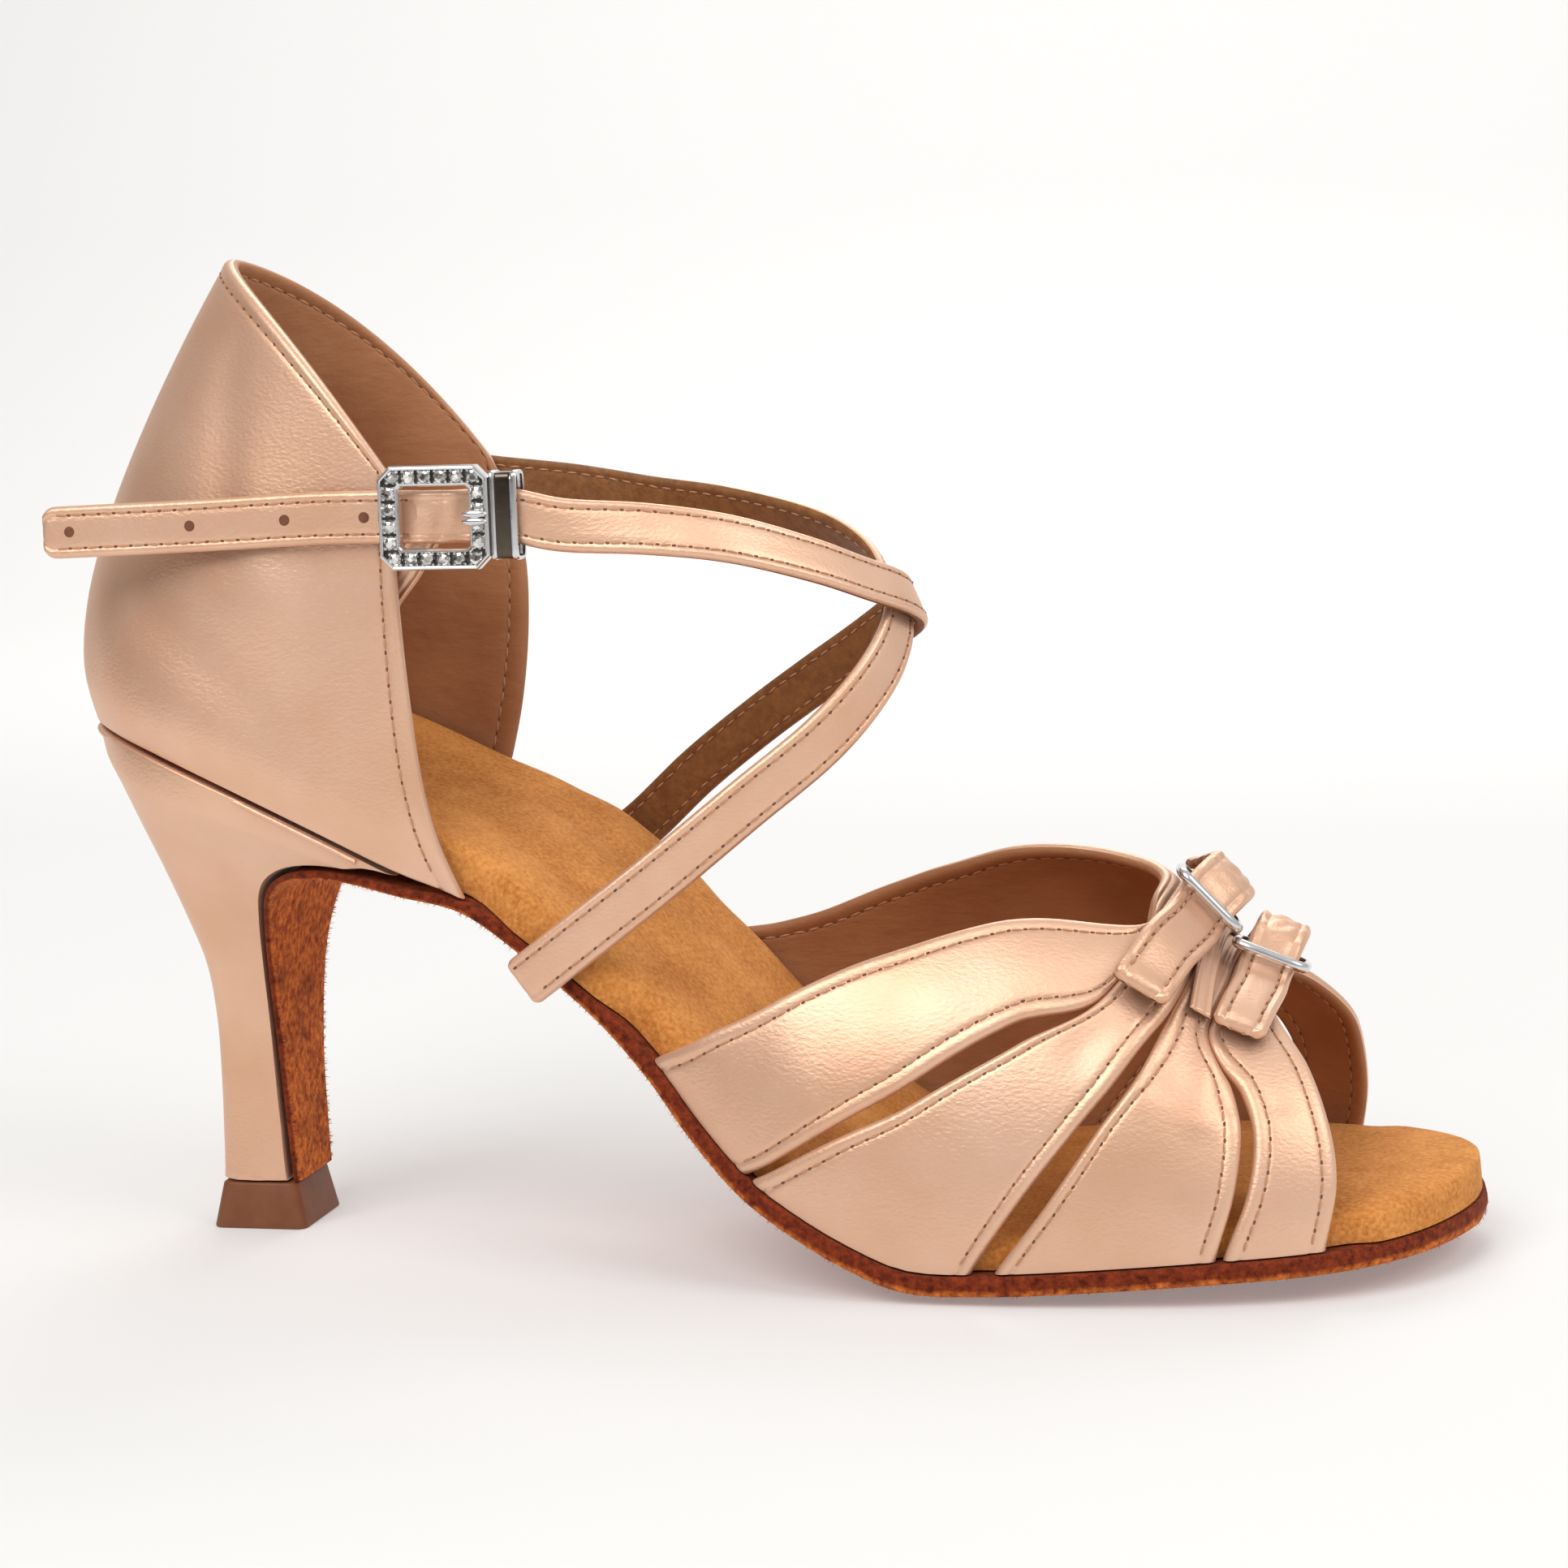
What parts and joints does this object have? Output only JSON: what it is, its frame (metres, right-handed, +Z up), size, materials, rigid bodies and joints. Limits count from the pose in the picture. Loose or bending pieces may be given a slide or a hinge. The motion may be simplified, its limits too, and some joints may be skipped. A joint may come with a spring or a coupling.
{
  "type": "ballroom dance shoe",
  "caption": "Open-toe Latin dance sandal for the right foot: flared high heel, fan-cut satin vamp, crossed instep straps with a square buckle, suede sole.",
  "frame": {"origin": "middle of the heel tip's ground face", "axes": "+X to the toe, +Y to the inner side of the foot, +Z up; the shoe stands on the plane Z = 0"},
  "size_m": [0.2049, 0.0767, 0.1439],
  "materials": {
    "satin": "rose-gold satin, soft sheen",
    "sole_suede": "napped suede, red-brown edge",
    "insole_suede": "tan suede",
    "tip_rubber": "brown, satin",
    "nickel": "bright plated, set with glass stones"
  },
  "bodies": {
    "root": {"outsole": "sole_suede", "heel": "satin", "heel_tip": "tip_rubber", "insole": "insole_suede", "counter": "satin", "vamp": "satin", "cross_straps": "satin", "buckle_tab": "satin", "ankle_buckle": "nickel", "buckle_prong": "nickel", "buckle_keeper": "nickel", "rear_band": "satin", "rear_band_buckle": "nickel", "front_band": "satin", "front_band_buckle": "nickel", "centre_band": "satin"}
  },
  "joints": []
}
